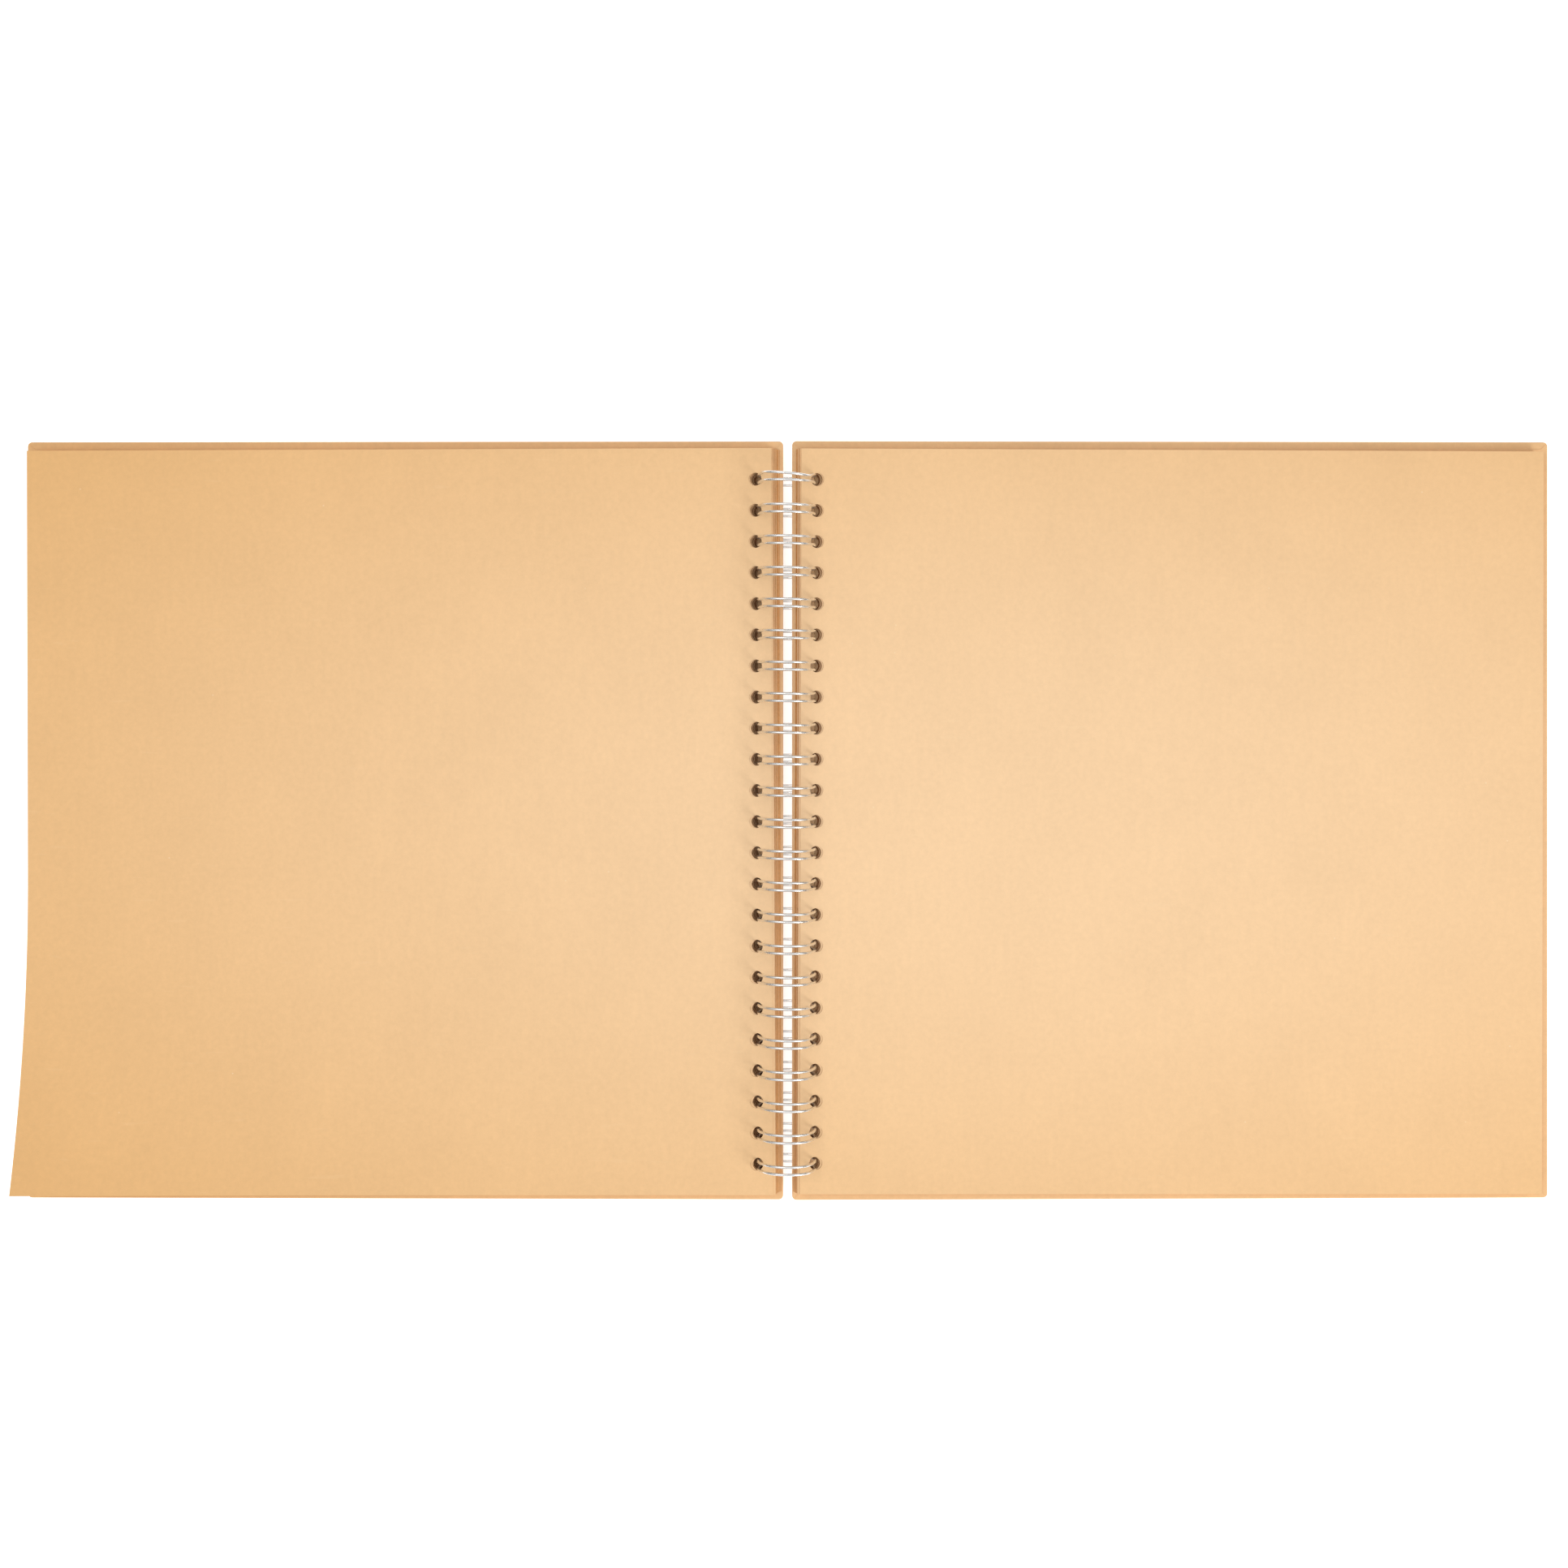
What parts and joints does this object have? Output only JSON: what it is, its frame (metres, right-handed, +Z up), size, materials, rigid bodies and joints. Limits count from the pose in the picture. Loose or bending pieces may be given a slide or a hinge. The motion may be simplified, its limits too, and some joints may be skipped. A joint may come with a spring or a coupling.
{
  "type": "wire-bound sketchbook",
  "caption": "Square kraft-paper sketchbook lying open: stiff wrapped covers and punched sheets turning on a silver twin-loop wire.",
  "frame": {"origin": "on the table, under the middle of the wire's axis, which is the middle of the opened book", "axes": "+X across the opened book to the right (back cover's side), +Y along the wire towards the head of the pages, +Z up from the table"},
  "size_m": [0.6277, 0.312, 0.0241],
  "materials": {
    "kraft_cover": "uncoated kraft paper, matt",
    "kraft_sheet": "smooth kraft card, matt",
    "grey_board": "dense grey board, hidden inside the cover",
    "satin_steel": "satin silver wire"
  },
  "bodies": {
    "back_cover": {"back_board": "grey_board", "back_wrap": "kraft_cover", "back_lining": "kraft_cover", "right_sheets_1": "kraft_sheet", "right_sheets_2": "kraft_sheet", "right_sheets_3": "kraft_sheet", "right_sheets_4": "kraft_sheet", "right_sheets_5": "kraft_sheet"},
    "front_cover": {"front_board": "grey_board", "front_wrap": "kraft_cover", "front_lining": "kraft_cover", "left_sheets_1": "kraft_sheet", "left_sheets_2": "kraft_sheet", "left_sheets_3": "kraft_sheet", "left_sheets_4": "kraft_sheet", "left_sheets_5": "kraft_sheet", "left_sheets_6": "kraft_sheet"},
    "left_top_sheet": {"left_top_sheet": "kraft_sheet"},
    "right_top_sheet": {"right_top_sheet": "kraft_sheet"},
    "wire": {"twin_loop_wire": "satin_steel"}
  },
  "joints": [
    {"name": "front_cover_turn", "type": "hinge", "parent": "back_cover", "child": "front_cover", "pos_m": [0, 0, 0.01215], "axis": [0, 1, 0], "range_deg": [0, 179.1]},
    {"name": "left_sheet_turn", "type": "hinge", "parent": "front_cover", "child": "left_top_sheet", "pos_m": [0, 0, 0.01215], "axis": [0, -1, 0], "range_deg": [-175, 0]},
    {"name": "right_sheet_turn", "type": "hinge", "parent": "back_cover", "child": "right_top_sheet", "pos_m": [0, 0, 0.01215], "axis": [0, 1, 0], "range_deg": [-175, 0]},
    {"name": "wire_roll", "type": "hinge", "parent": "back_cover", "child": "wire", "pos_m": [0, 0, 0.01215], "axis": [0, 1, 0], "range_deg": [-10, 45]}
  ]
}
